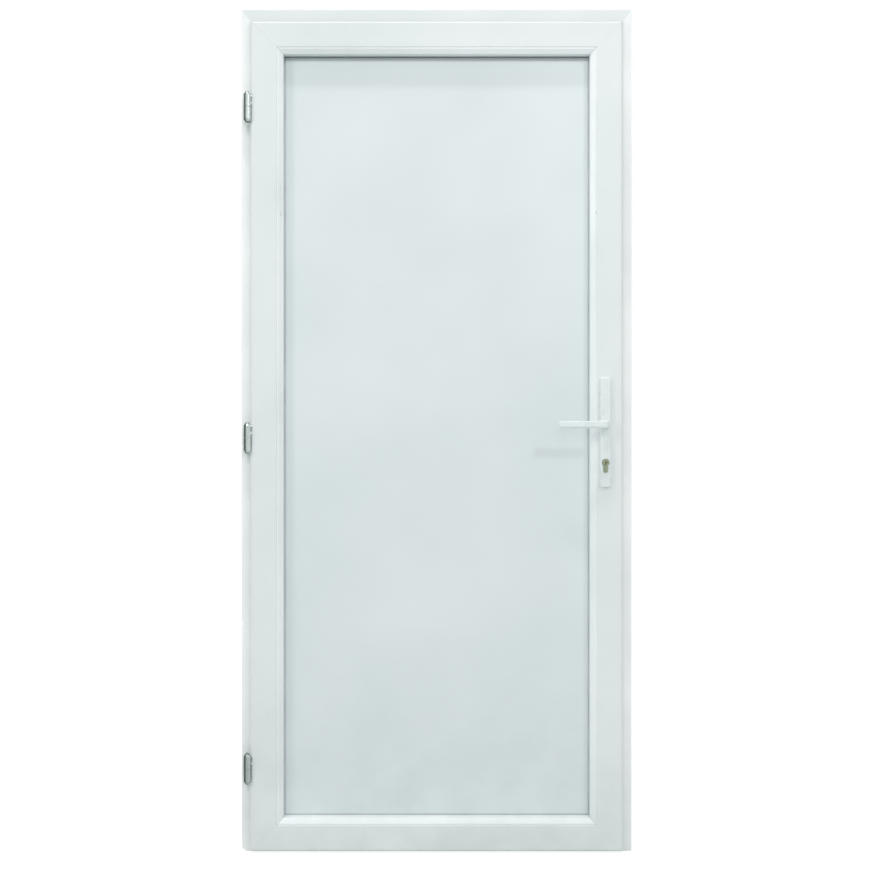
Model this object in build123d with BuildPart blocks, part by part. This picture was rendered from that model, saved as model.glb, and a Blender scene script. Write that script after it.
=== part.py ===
from build123d import *
from math import cos, radians, sin
import os

# White uPVC entrance door in its frame, seen from the room that it opens into.
# Millimetres. X runs from the hinge jamb to the lock jamb, Y from the room to the
# weather side and Z up. The origin is on the underside, halfway along and across the frame.

# Frame
frame_width = 950.0
frame_height = 2050.0
frame_depth = 70.0
jamb_strip = 23.0        # part of each jamb seen beside the closed leaf
head_strip = 33.0        # part of the head seen above it
leaf_overlap = 8.0       # how far the leaf's flange laps on to the frame
rebate_height = 19.0     # how far the weather lip stands up from the rebate
arris_radius = 2.0       # softened outer corners of the profiles
foot_cut = 10.0          # corner missing from the foot of the hinge jamb
chip_height = 552.0      # chip out of the hinge jamb's outer edge
chip_length = 12.0
chip_depth = 3.5
threshold_height = 18.0
threshold_fall = 4.0     # drop of the threshold's weather side
threshold_lip_overlap = 7.0
threshold_setback = 1.5  # from the jambs' room face
tread_rib_width = 3.0
tread_rib_height = 1.0
tread_rib_pitch = 8.0
tread_rib_count = 6

# Leaf
leaf_proud = 20.0        # the leaf's room face stands this far in front of the frame's
leaf_depth = 70.0
seal_gap = 5.0           # space between leaf and frame that the seals close
floor_gap = 5.0
flange_width = 20.0
edge_bevel = 6.0
sash_face = 65.0         # visible width of stiles and rails
glazing_upstand = 20.0
glazing_lip = 16.0
lip_bevel = 6.0
bevel_rounding = 2.0           # on both sides of the leaf's bevelled edge
hardware_groove_width = 16.0
hardware_groove_depth = 3.0
hardware_groove_start = 30.0   # from the leaf's room face

# Panel, beads and seals
panel_thickness = 24.0
panel_edge_gap = 5.0
panel_seal_thickness = 3.0
bead_width = 15.0
bead_setback = 1.0       # step from the leaf's face down to the bead
bead_slope = 7.0         # drop of the bead's front face towards the panel
bead_flat = 4.0          # level part of the bead beside the sash
bead_nose_radius = 2.5
bead_tongue_width = 4.0
bead_tongue_height = 2.5
bead_seal_width = 3.0
bead_seal_thickness = 2.0
seal_base_width = 5.0
seal_base_thickness = 1.6
seal_bulb_width = 3.0
seal_bulb_rounding = 1.2
seat_clearance = 0.3     # between a soft seal and the face that it meets
drain_slot_length = 30.0 # through the weather wall of the bottom rail
drain_slot_height = 5.0
drain_slot_depth = 8.0
drain_slot_offset = 250.0      # from the leaf's middle
drain_slot_above_deflector = 7.0

# Hinges
upper_hinge_drop = 244.0     # from the frame's top
lower_hinge_rise = 208.0
hinge_barrel_radius = 8.5
hinge_barrel_length = 75.0
hinge_axis_outside = 5.5     # pivot beyond the leaf's edge
hinge_axis_forward = 2.5     # pivot in front of the leaf's face
hinge_cap_height = 7.0       # tapered cap at each end of a barrel
hinge_cap_tip_radius = 3.5
hinge_cap_groove = 0.5
hinge_washer_thickness = 1.2
hinge_washer_setback = 1.0
hinge_pin_radius = 5.0
hinge_pin_length = 28.0
hinge_pin_end_gap = 1.0
running_clearance = 0.05
leaf_screw_radius = 3.0
leaf_screw_angle = 30.0
leaf_screw_length = 48.0
frame_screw_radius = 4.0
frame_screw_depth = 40.0
screw_spread = 18.0          # between the two screw shanks of one hinge half
fit_clearance = 0.05

# Lock
spindle_height = 1040.0
lock_centres = 92.0          # from spindle to cylinder
backset = 25.0               # from the sash's edge to spindle and cylinder
faceplate_rise = 295.0       # from the leaf's foot
faceplate_drop = 257.0       # from the leaf's top
latch_height = 34.0
latch_bevel = 8.0
latch_above_spindle = 36.0
deadbolt_height = 40.0
deadbolt_below_spindle = 50.0
hook_height = 60.0
hook_from_end = 130.0        # from the faceplate's ends
hook_throat_radius = 13.0
hook_nose_radius = 5.0
bolt_thickness = 11.0
bolt_depth = 28.0
bolt_clearance = 0.4
strike_thickness = 3.0
strike_width = 24.0
strike_corner = 6.0
strike_margin = 22.0         # plate beyond the openings, at each end
keep_side_margin = 2.0       # openings larger than the bolts
keep_end_margin = 3.0
keep_depth = 15.0

# Frame fixings
fixing_hole_radius = 5.1
fixing_head_radius = 9.0
fixing_head_depth = 5.0
fixing_rise = 110.0      # lowest, from the foot
fixing_drop = 170.0      # highest, from the frame's top
fixing_count = 4

# Handles
plate_width = 26.0
plate_length = 265.0
plate_above_spindle = 113.0
plate_thickness = 9.0
plate_corner = 6.0
plate_edge_fillet = 3.0
spindle_size = 8.0
spindle_hole_radius = 6.8
lever_reach = 116.0
lever_projection = 50.0      # from the leaf's face to the lever's front
lever_height = 18.0
lever_thickness = 13.0
lever_tip_height = 17.0
lever_tip_thickness = 10.0
lever_neck_radius = 8.5
lever_corner = 2.5
lever_underside_radius = 6.0   # lower front edge of the grip
lever_tip_rounding = 1.0
lever_bend = 13.0            # radius of the bend, on the centre line
lever_gap = 0.5
collar_radius = 11.0
collar_height = 4.0

# Euro profile cylinder
cylinder_radius = 8.5
cylinder_web_width = 10.0
cylinder_drop = 24.5         # lowest point below the plug's centre
cylinder_proud = 3.0
cylinder_clearance = 0.3
plug_radius = 6.0
plug_recess = 0.6
keyway_width = 2.2
keyway_height = 8.0

# Rain deflector
deflector_height = 34.0
deflector_reach = 30.0
deflector_wall = 2.5
deflector_root = 11.5        # where the sloping blade leaves the wall of the deflector
deflector_drip = 2.5
deflector_nose_radius = 2.0
deflector_above_lip = 6.0
deflector_end_gap = 9.0

# Worked out from the sizes above
room_y = -frame_depth / 2
weather_y = frame_depth / 2
leaf_room_y = room_y - leaf_proud
leaf_weather_y = leaf_room_y + leaf_depth
lip_y = leaf_weather_y + seal_gap
flange_thickness = leaf_proud - seal_gap
half_frame = frame_width / 2
jamb_body = jamb_strip + leaf_overlap
head_body = head_strip + leaf_overlap
opening_half = half_frame - jamb_body
opening_top = frame_height - head_body
lip_half = opening_half - rebate_height
lip_top = opening_top - rebate_height
leaf_half = half_frame - jamb_strip
leaf_bottom = floor_gap
leaf_top = frame_height - head_strip
leaf_width = 2 * leaf_half
leaf_height = leaf_top - leaf_bottom
sash_edge = leaf_half - flange_width
sash_bottom = leaf_bottom + flange_width
threshold_lip_top = sash_bottom + threshold_lip_overlap
sash_width = sash_face + glazing_upstand
deflector_bottom = threshold_lip_top + deflector_above_lip
drain_slot_z = deflector_bottom + deflector_height + drain_slot_above_deflector
panel_room_v = leaf_depth - glazing_lip - panel_seal_thickness - panel_thickness
groove_middle_y = leaf_room_y + hardware_groove_start + hardware_groove_width / 2
pivot_x = -leaf_half - hinge_axis_outside
pivot_y = leaf_room_y - hinge_axis_forward
spindle_x = sash_edge - backset
cylinder_height = spindle_height - lock_centres
faceplate_low = leaf_bottom + faceplate_rise
faceplate_high = leaf_top - faceplate_drop
hook_heights = {"upper": faceplate_high - hook_from_end, "lower": faceplate_low + hook_from_end}
upper_hinge = frame_height - upper_hinge_drop
middle_hinge = (upper_hinge + lower_hinge_rise) / 2
hinge_heights = {"upper": upper_hinge, "middle": middle_hinge, "lower": lower_hinge_rise}
fixing_spacing = (frame_height - fixing_rise - fixing_drop) / (fixing_count - 1)
through = 2 * (frame_depth + leaf_proud)   # longer than anything is deep

sides = ("left", "right", "top", "bottom")


def run_plane(side, half, low, high, face_y):
    # Across one side of a rectangle: x runs in from the outer edge, y from room to weather
    if side == "left":
        return Plane(origin=(-half, face_y, low), x_dir=(1, 0, 0), z_dir=(0, 0, 1))
    if side == "right":
        return Plane(origin=(half, face_y, high), x_dir=(-1, 0, 0), z_dir=(0, 0, -1))
    if side == "top":
        return Plane(origin=(-half, face_y, high), x_dir=(0, 0, -1), z_dir=(1, 0, 0))
    return Plane(origin=(half, face_y, low), x_dir=(0, 0, 1), z_dir=(-1, 0, 0))


def facing_plane(facing, y, x=0.0, z=0.0):
    # Upright plane with y up: 1 looks at the weather side, -1 at the room
    return Plane(origin=(x, y, z), x_dir=(-facing, 0, 0), z_dir=(0, facing, 0))


def outline(*points):
    Polygon(*points, align=None)


def corners(profile, *points):
    # The profile's corners at these points
    return [profile.vertices().sort_by_distance(Vector(*point))[0] for point in points]


def mitre(side, half, low, high, width):
    # One side of a rectangle with both ends cut at 45 degrees
    inner = half - width
    quads = {
        "left": [(-half, low), (-inner, low + width), (-inner, high - width), (-half, high)],
        "right": [(half, low), (inner, low + width), (inner, high - width), (half, high)],
        "top": [(-half, high), (-inner, high - width), (inner, high - width), (half, high)],
        "bottom": [(-half, low), (-inner, low + width), (inner, low + width), (half, low)],
    }
    outline(*quads[side])


def write(piece, name):
    piece.part.label = name
    export_step(piece.part, f"parts/{name}.step")


os.makedirs("parts", exist_ok=True)


# Frame members: a body the full depth of the frame, with a lip on the weather side
# that the leaf closes against
def frame_section(body_width):
    lip_v = lip_y - room_y
    outline(
        (0, 0),
        (body_width, 0),
        (body_width, lip_v),
        (body_width + rebate_height, lip_v),
        (body_width + rebate_height, frame_depth),
        (0, frame_depth),
    )


def frame_arrises(body_width):
    return (
        (0, 0),
        (body_width, 0),
        (body_width + rebate_height, lip_y - room_y),
        (body_width + rebate_height, frame_depth),
        (0, frame_depth),
    )


def jamb_outline(sign):
    outline(
        (sign * half_frame, 0),
        (sign * lip_half, 0),
        (sign * lip_half, lip_top),
        (sign * opening_half, opening_top),
        (sign * half_frame, frame_height),
    )


fixing_heights = [fixing_rise + i * fixing_spacing for i in range(fixing_count)]
fixing_y = (room_y + lip_y) / 2

hinge_middle_gap = hinge_washer_thickness / 2
screw_offset = (hinge_barrel_length / 2 - screw_spread) / 2
hinge_screw_steps = (0, 1)

# Openings in the strikes on the lock jamb, each with a pocket behind it
latch_z = spindle_height + latch_above_spindle
deadbolt_z = spindle_height - deadbolt_below_spindle
strikes = {
    "centre": [(latch_z, latch_height), (deadbolt_z, deadbolt_height)],
    "upper": [(hook_heights["upper"], hook_height)],
    "lower": [(hook_heights["lower"], hook_height)],
}
keep_width = bolt_thickness + 2 * keep_side_margin


def on_lock_edge(x, facing):
    # Plane across the lock side of the door, with y up
    return Plane(origin=(x, groove_middle_y, 0), x_dir=(0, facing, 0), z_dir=(facing, 0, 0))


for name, side, sign in (("hinge_jamb", "left", -1), ("lock_jamb", "right", 1)):
    with BuildPart() as jamb:
        with BuildSketch(run_plane(side, half_frame, 0, frame_height, room_y)) as profile:
            frame_section(jamb_body)
            fillet(corners(profile, *frame_arrises(jamb_body)), arris_radius)
        extrude(amount=frame_height)
        with BuildSketch(Plane.XZ):
            jamb_outline(sign)
        extrude(amount=through, both=True, mode=Mode.INTERSECT)
        for radius, depth in ((fixing_hole_radius, jamb_body), (fixing_head_radius, fixing_head_depth)):
            with BuildSketch(Plane(origin=(sign * opening_half, fixing_y, 0), x_dir=(0, sign, 0),
                                   z_dir=(sign, 0, 0))):
                with Locations(*[(0, z) for z in fixing_heights]):
                    Circle(radius)
            extrude(amount=depth, mode=Mode.SUBTRACT)
        if side == "left":
            with BuildSketch(Plane.XZ):
                outline((-half_frame, 0), (foot_cut - half_frame, 0), (-half_frame, foot_cut))
            extrude(amount=through, both=True, mode=Mode.SUBTRACT)
            with BuildSketch(Plane.XZ.offset(-room_y)):
                with Locations((-half_frame, chip_height)):
                    Ellipse(chip_depth, chip_length / 2)
            extrude(amount=-chip_length, mode=Mode.SUBTRACT)
            for height in hinge_heights.values():
                for step in hinge_screw_steps:
                    z = height - hinge_middle_gap - screw_offset - step * screw_spread
                    with BuildSketch(facing_plane(1, room_y, pivot_x, z)):
                        Circle(frame_screw_radius + fit_clearance)
                    extrude(amount=frame_screw_depth, mode=Mode.SUBTRACT)
        else:
            for holes in strikes.values():
                for z, height in holes:
                    with BuildSketch(on_lock_edge(opening_half, 1)):
                        with Locations((0, z)):
                            Rectangle(keep_width, height + 2 * keep_end_margin)
                    extrude(amount=keep_depth, mode=Mode.SUBTRACT)
    write(jamb, name)

for name, holes in strikes.items():
    ends = [z + s * (h / 2 + strike_margin) for z, h in holes for s in (-1, 1)]
    with BuildPart() as strike:
        with BuildSketch(on_lock_edge(opening_half, -1)):
            with Locations((0, (min(ends) + max(ends)) / 2)):
                RectangleRounded(strike_width, max(ends) - min(ends), strike_corner)
            for z, height in holes:
                with Locations((0, z)):
                    Rectangle(keep_width, height + 2 * keep_end_margin, mode=Mode.SUBTRACT)
        extrude(amount=strike_thickness)
    write(strike, f"{name}_strike")

with BuildPart() as frame_head:
    with BuildSketch(run_plane("top", half_frame, 0, frame_height, room_y)) as profile:
        frame_section(head_body)
        fillet(corners(profile, *frame_arrises(head_body)), arris_radius)
    extrude(amount=frame_width)
    with BuildSketch(Plane.XZ):
        outline(
            (-half_frame, frame_height),
            (-opening_half, opening_top),
            (-lip_half, lip_top),
            (lip_half, lip_top),
            (opening_half, opening_top),
            (half_frame, frame_height),
        )
    extrude(amount=through, both=True, mode=Mode.INTERSECT)
write(frame_head, "frame_head")

# The threshold runs between the jambs and is notched round their lips. Ribs on its
# tread keep a shoe from slipping
threshold_front = room_y + threshold_setback
with BuildPart() as threshold:
    with BuildSketch(Plane(origin=(-opening_half, 0, 0), x_dir=(0, 1, 0), z_dir=(1, 0, 0))) as profile:
        outline(
            (threshold_front, 0),
            (threshold_front, threshold_height),
            (lip_y, threshold_height),
            (lip_y, threshold_lip_top),
            (lip_y + seal_base_width, threshold_lip_top),
            (weather_y, threshold_height - threshold_fall),
            (weather_y, 0),
        )
        fillet(corners(profile, (threshold_front, threshold_height)), arris_radius)
        with Locations(((threshold_front + lip_y) / 2, threshold_height)):
            with GridLocations(tread_rib_pitch, tread_rib_pitch, tread_rib_count, 1):
                Rectangle(tread_rib_width, 2 * tread_rib_height)
    extrude(amount=2 * opening_half)
    with BuildSketch(Plane.XY):
        with Locations((-(opening_half + lip_half) / 2, (lip_y + weather_y) / 2),
                       ((opening_half + lip_half) / 2, (lip_y + weather_y) / 2)):
            Rectangle(rebate_height, weather_y - lip_y)
    extrude(amount=threshold_lip_top, mode=Mode.SUBTRACT)
write(threshold, "threshold")


# A seal ring: a flat base on its carrier and a softer bulb that meets the other face
def seal_ring(half, low, high, seat_y, reach):
    height = high - low
    middle = (low + high) / 2
    facing = 1 if reach > 0 else -1
    with BuildPart() as ring:
        for width, start, end in (
            (seal_base_width, 0.0, seal_base_thickness),
            (seal_bulb_width, seal_base_thickness, abs(reach)),
        ):
            with BuildSketch(facing_plane(facing, seat_y + facing * start, 0, middle)):
                Rectangle(2 * half + width, height + width)
                Rectangle(2 * half - width, height - width, mode=Mode.SUBTRACT)
            extrude(amount=end - start)
        bulb_edges = ring.faces().sort_by(Axis.Y)[-1 if reach > 0 else 0].edges()
        fillet(bulb_edges, seal_bulb_rounding)
    return ring


frame_seal_inset = flange_width + (rebate_height + leaf_overlap - flange_width) / 2
frame_seal = seal_ring(
    leaf_half - frame_seal_inset,
    leaf_bottom + frame_seal_inset,
    leaf_top - frame_seal_inset,
    lip_y,
    -(seal_gap - seat_clearance),
)
write(frame_seal, "frame_seal")

leaf_seal_inset = leaf_overlap / 2
leaf_seal = seal_ring(
    leaf_half - leaf_seal_inset,
    leaf_bottom + leaf_seal_inset,
    leaf_top - leaf_seal_inset,
    leaf_room_y + flange_thickness,
    seal_gap - seat_clearance,
)
write(leaf_seal, "leaf_seal")


# Stiles and rails: one section with its overlap flange, hardware groove, bead groove
# and glazing lip
def sash_section():
    groove_end = hardware_groove_start + hardware_groove_width
    groove_floor = flange_width + hardware_groove_depth
    lip_start = leaf_depth - glazing_lip
    tongue_start = panel_room_v / 2 - bead_tongue_width / 2
    tongue_floor = sash_face - bead_tongue_height
    outline(
        (0, edge_bevel),
        (edge_bevel, 0),
        (sash_face, 0),
        (sash_face, tongue_start),
        (tongue_floor, tongue_start),
        (tongue_floor, tongue_start + bead_tongue_width),
        (sash_face, tongue_start + bead_tongue_width),
        (sash_face, lip_start),
        (sash_width, lip_start),
        (sash_width, leaf_depth - lip_bevel),
        (sash_width - lip_bevel, leaf_depth),
        (flange_width, leaf_depth),
        (flange_width, groove_end),
        (groove_floor, groove_end),
        (groove_floor, hardware_groove_start),
        (flange_width, hardware_groove_start),
        (flange_width, flange_thickness),
        (0, flange_thickness),
    )


def euro_profile(grow):
    # Round plug housing over a narrow web with a rounded foot, drawn round the plug's centre
    web = cylinder_web_width / 2 + grow
    Circle(cylinder_radius + grow)
    with Locations((0, -(cylinder_drop - cylinder_web_width / 2) / 2)):
        Rectangle(2 * web, cylinder_drop - cylinder_web_width / 2)
    with Locations((0, -(cylinder_drop - cylinder_web_width / 2))):
        Circle(web)


bolts = {
    "latch_bolt": (latch_z, latch_height),
    "deadbolt": (deadbolt_z, deadbolt_height),
    "upper_hook": (hook_heights["upper"], hook_height),
    "lower_hook": (hook_heights["lower"], hook_height),
}

leaf_screw_direction = (cos(radians(leaf_screw_angle)), sin(radians(leaf_screw_angle)), 0)
sash_names = {"left": "hinge_stile", "right": "lock_stile", "top": "top_rail", "bottom": "bottom_rail"}
run_lengths = {"left": leaf_height, "right": leaf_height, "top": leaf_width, "bottom": leaf_width}

for side, name in sash_names.items():
    with BuildPart() as member:
        with BuildSketch(run_plane(side, leaf_half, leaf_bottom, leaf_top, leaf_room_y)) as profile:
            sash_section()
            fillet(corners(profile, (0, edge_bevel), (edge_bevel, 0)), bevel_rounding)
            fillet(corners(profile, (sash_face, 0), (flange_width, leaf_depth)), arris_radius)
        extrude(amount=run_lengths[side])
        with BuildSketch(Plane.XZ):
            mitre(side, leaf_half, leaf_bottom, leaf_top, sash_width)
        extrude(amount=through, both=True, mode=Mode.INTERSECT)
        if side == "left":
            for height in hinge_heights.values():
                for step in hinge_screw_steps:
                    z = height + hinge_middle_gap + screw_offset + step * screw_spread
                    with BuildSketch(
                        Plane(origin=(pivot_x, pivot_y, z), x_dir=(0, 0, 1), z_dir=leaf_screw_direction)
                    ):
                        Circle(leaf_screw_radius + fit_clearance)
                    extrude(amount=leaf_screw_length, mode=Mode.SUBTRACT)
        if side == "right":
            with BuildSketch(facing_plane(-1, leaf_room_y, spindle_x, spindle_height)):
                Circle(spindle_hole_radius)
            extrude(amount=through, both=True, mode=Mode.SUBTRACT)
            with BuildSketch(facing_plane(-1, leaf_room_y, spindle_x, cylinder_height)):
                euro_profile(cylinder_clearance)
            extrude(amount=through, both=True, mode=Mode.SUBTRACT)
            with BuildSketch(on_lock_edge(sash_edge, -1)):
                for z, height in bolts.values():
                    with Locations((0, z)):
                        Rectangle(bolt_thickness + 2 * bolt_clearance, height + 2 * bolt_clearance)
            extrude(amount=bolt_depth, mode=Mode.SUBTRACT)
        if side == "bottom":
            with BuildSketch(facing_plane(1, leaf_weather_y, 0, drain_slot_z)):
                with GridLocations(2 * drain_slot_offset, drain_slot_height, 2, 1):
                    SlotOverall(drain_slot_length, drain_slot_height)
            extrude(amount=-drain_slot_depth, mode=Mode.SUBTRACT)
    write(member, name)

with BuildPart() as lock_faceplate:
    with BuildSketch(on_lock_edge(sash_edge, -1)):
        with Locations((0, (faceplate_low + faceplate_high) / 2)):
            SlotOverall(faceplate_high - faceplate_low, hardware_groove_width, rotation=90)
        for z, height in bolts.values():
            with Locations((0, z)):
                Rectangle(
                    bolt_thickness + 2 * bolt_clearance,
                    height + 2 * bolt_clearance,
                    mode=Mode.SUBTRACT,
                )
    extrude(amount=hardware_groove_depth)
write(lock_faceplate, "lock_faceplate")

# The bolts stand withdrawn, flush with the faceplate, their backs on the floor of the
# pocket. The latch is bevelled on its closing side, and each hook has a throat below its nose
for name, (z, height) in bolts.items():
    with BuildPart() as bolt:
        with BuildSketch(on_lock_edge(sash_edge, -1)):
            with Locations((0, z)):
                Rectangle(bolt_thickness, height)
        extrude(amount=bolt_depth)
        outer_edges = bolt.edges().filter_by(Axis.Z).group_by(Axis.X)[-1]
        if name == "latch_bolt":
            chamfer(outer_edges.sort_by(Axis.Y)[-1], latch_bevel)
        if name.endswith("hook"):
            with BuildSketch(facing_plane(-1, groove_middle_y, sash_edge, z - hook_throat_radius)):
                Circle(hook_throat_radius)
            extrude(amount=bolt_thickness, both=True, mode=Mode.SUBTRACT)
            nose = bolt.edges().filter_by(Axis.Y).group_by(Axis.X)[-1].sort_by(Axis.Z)[-1]
            fillet(nose, hook_nose_radius)
    write(bolt, name)


# Glazing beads, mitred like the sash that they clip into
def bead_section():
    slope_end = bead_setback + bead_slope
    foot = panel_room_v - bead_seal_thickness
    tongue_start = panel_room_v / 2 - bead_tongue_width / 2
    outline(
        (sash_face, bead_setback),
        (sash_face + bead_flat, bead_setback),
        (sash_face + bead_width, slope_end),
        (sash_face + bead_width, foot),
        (sash_face, foot),
        (sash_face, tongue_start + bead_tongue_width),
        (sash_face - bead_tongue_height, tongue_start + bead_tongue_width),
        (sash_face - bead_tongue_height, tongue_start),
        (sash_face, tongue_start),
    )


bead_nose = (sash_face + bead_width, bead_setback + bead_slope)
bead_names = {
    "left": "hinge_side_bead",
    "right": "lock_side_bead",
    "top": "top_bead",
    "bottom": "bottom_bead",
}
for side in sides:
    with BuildPart() as bead:
        with BuildSketch(run_plane(side, leaf_half, leaf_bottom, leaf_top, leaf_room_y)) as profile:
            bead_section()
            fillet(corners(profile, bead_nose), bead_nose_radius)
        extrude(amount=run_lengths[side])
        with BuildSketch(Plane.XZ):
            mitre(side, leaf_half, leaf_bottom, leaf_top, sash_width)
        extrude(amount=through, both=True, mode=Mode.INTERSECT)
    write(bead, bead_names[side])

# The flat sandwich panel and the two seals that hold it between lip and beads
panel_inset = sash_face + panel_edge_gap
leaf_middle = (leaf_bottom + leaf_top) / 2
panel_room_y = leaf_room_y + panel_room_v
panel_weather_y = panel_room_y + panel_thickness

with BuildPart() as infill_panel:
    with BuildSketch(facing_plane(1, panel_room_y, 0, leaf_middle)):
        Rectangle(leaf_width - 2 * panel_inset, leaf_height - 2 * panel_inset)
    extrude(amount=panel_thickness)
write(infill_panel, "infill_panel")


def panel_seal(outer_inset, inner_inset, y, thickness):
    with BuildPart() as seal:
        with BuildSketch(facing_plane(1, y, 0, leaf_middle)):
            Rectangle(leaf_width - 2 * outer_inset, leaf_height - 2 * outer_inset)
            Rectangle(leaf_width - 2 * inner_inset, leaf_height - 2 * inner_inset, mode=Mode.SUBTRACT)
        extrude(amount=thickness)
    return seal


bead_edge = sash_face + bead_width
write(
    panel_seal(
        panel_inset, bead_edge + bead_seal_width, panel_room_y - bead_seal_thickness, bead_seal_thickness
    ),
    "room_panel_seal",
)
write(
    panel_seal(panel_inset, sash_width + bead_seal_width, panel_weather_y, panel_seal_thickness),
    "weather_panel_seal",
)


# Hinges: a lower half screwed into the jamb, with the pin, and an upper half screwed
# into the leaf's bevelled edge. Each half is turned, with a tapered cap on its outer end
half_barrel = (hinge_barrel_length - hinge_washer_thickness) / 2


def barrel_outline(up):
    # Half the section of a barrel that starts at the joint and goes up or down
    cap = half_barrel - hinge_cap_height
    outline(
        (0, 0),
        (hinge_barrel_radius, 0),
        (hinge_barrel_radius, up * (cap - hinge_cap_groove)),
        (hinge_barrel_radius - hinge_cap_groove, up * (cap - hinge_cap_groove)),
        (hinge_barrel_radius - hinge_cap_groove, up * cap),
        (hinge_barrel_radius, up * cap),
        (hinge_cap_tip_radius, up * half_barrel),
        (0, up * half_barrel),
    )


for where, height in hinge_heights.items():
    lower_joint = height - hinge_middle_gap
    upper_joint = height + hinge_middle_gap
    with BuildPart() as frame_half:
        with BuildSketch(facing_plane(-1, pivot_y, pivot_x, lower_joint)):
            barrel_outline(-1)
        revolve(axis=Axis((pivot_x, pivot_y, 0), (0, 0, 1)))
        with BuildSketch(Plane((pivot_x, pivot_y, lower_joint))):
            Circle(hinge_pin_radius)
        extrude(amount=hinge_washer_thickness + hinge_pin_length)
        for step in hinge_screw_steps:
            z = lower_joint - screw_offset - step * screw_spread
            with BuildSketch(facing_plane(1, pivot_y, pivot_x, z)):
                Circle(frame_screw_radius)
            extrude(amount=room_y + frame_screw_depth - pivot_y)
    write(frame_half, f"{where}_hinge_frame_half")

    with BuildPart() as leaf_half_barrel:
        with BuildSketch(facing_plane(-1, pivot_y, pivot_x, upper_joint)):
            barrel_outline(1)
        revolve(axis=Axis((pivot_x, pivot_y, 0), (0, 0, 1)))
        for step in hinge_screw_steps:
            z = upper_joint + screw_offset + step * screw_spread
            with BuildSketch(
                Plane(origin=(pivot_x, pivot_y, z), x_dir=(0, 0, 1), z_dir=leaf_screw_direction)
            ):
                Circle(leaf_screw_radius)
            extrude(amount=leaf_screw_length)
        with BuildSketch(Plane((pivot_x, pivot_y, upper_joint))):
            Circle(hinge_pin_radius + running_clearance)
        extrude(amount=hinge_pin_length + hinge_pin_end_gap, mode=Mode.SUBTRACT)
    write(leaf_half_barrel, f"{where}_hinge_leaf_half")

    with BuildPart() as washer:
        with BuildSketch(Plane((pivot_x, pivot_y, lower_joint))):
            Circle(hinge_barrel_radius - hinge_washer_setback)
            Circle(hinge_pin_radius + fit_clearance, mode=Mode.SUBTRACT)
        extrude(amount=hinge_washer_thickness - seat_clearance)
    write(washer, f"{where}_hinge_washer")


# Handles, one on each face of the leaf
def handle_plane(facing, y, height):
    return facing_plane(facing, y, spindle_x, height)


def across_way(way, at):
    # Across the lever's centre line, with x up
    return Plane(origin=way @ at, x_dir=(0, 0, 1), z_dir=way % at)


def grip_section(section, facing, tall, thick):
    # A bar with softened corners, rounded most along its lower front edge
    Rectangle(tall, thick)
    fillet(corners(section, (-tall / 2, facing * thick / 2)), lever_underside_radius)
    fillet(
        corners(section, (tall / 2, thick / 2), (tall / 2, -thick / 2), (-tall / 2, -facing * thick / 2)),
        lever_corner,
    )


faces = {"inside": (-1, leaf_room_y), "outside": (1, leaf_weather_y)}
plate_centre = spindle_height + plate_above_spindle - plate_length / 2

for where, (facing, face_y) in faces.items():
    with BuildPart() as handle_plate:
        with BuildSketch(handle_plane(facing, face_y, plate_centre)):
            RectangleRounded(plate_width, plate_length, plate_corner)
        extrude(amount=plate_thickness)
        front = handle_plate.faces().sort_by(Axis.Y)[-1 if facing > 0 else 0]
        fillet(front.edges(), plate_edge_fillet)
        with BuildSketch(handle_plane(facing, face_y, spindle_height)):
            Circle(spindle_hole_radius)
        extrude(amount=plate_thickness, mode=Mode.SUBTRACT)
        with BuildSketch(handle_plane(facing, face_y, cylinder_height)):
            euro_profile(cylinder_clearance)
        extrude(amount=plate_thickness, mode=Mode.SUBTRACT)
    write(handle_plate, f"{where}_handle_plate")

    # The neck comes round out of the plate and flattens before it bends into the grip,
    # which narrows towards its tip
    neck_start = face_y + facing * (plate_thickness + lever_gap)
    grip_y = face_y + facing * (lever_projection - lever_thickness / 2)
    with BuildPart() as lever:
        with BuildLine(Plane.XY.offset(spindle_height)) as bend:
            JernArc(
                start=(spindle_x, grip_y - facing * lever_bend),
                tangent=(0, facing),
                radius=lever_bend,
                arc_size=facing * 90,
            )
        way = bend.wires()[0]
        with BuildSketch(handle_plane(facing, neck_start, spindle_height)):
            Circle(lever_neck_radius)
        with BuildSketch(across_way(way, 0)) as section:
            grip_section(section, facing, lever_height, lever_thickness)
        loft()
        with BuildSketch(across_way(way, 0)) as section:
            grip_section(section, facing, lever_height, lever_thickness)
        sweep(path=way)
        with BuildSketch(across_way(way, 1)) as section:
            grip_section(section, facing, lever_height, lever_thickness)
        tip = (spindle_x - lever_reach, grip_y, spindle_height)
        with BuildSketch(Plane(origin=tip, x_dir=(0, 0, 1), z_dir=(-1, 0, 0))) as section:
            grip_section(section, facing, lever_tip_height, lever_tip_thickness)
        loft(ruled=True)
        chamfer(lever.faces().sort_by(Axis.X)[0].edges(), lever_tip_rounding)
        with BuildSketch(handle_plane(facing, neck_start, spindle_height)):
            Circle(collar_radius)
        extrude(amount=collar_height)
        with BuildSketch(handle_plane(facing, neck_start, spindle_height)):
            Rectangle(spindle_size, spindle_size)
        extrude(amount=collar_height, mode=Mode.SUBTRACT)
    write(lever, f"{where}_lever")

spindle_start = leaf_room_y - plate_thickness - lever_gap - collar_height
spindle_end = leaf_weather_y + plate_thickness + lever_gap + collar_height
with BuildPart() as spindle:
    with BuildSketch(handle_plane(1, spindle_start, spindle_height)):
        Rectangle(spindle_size, spindle_size)
    extrude(amount=spindle_end - spindle_start)
write(spindle, "spindle")

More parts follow.
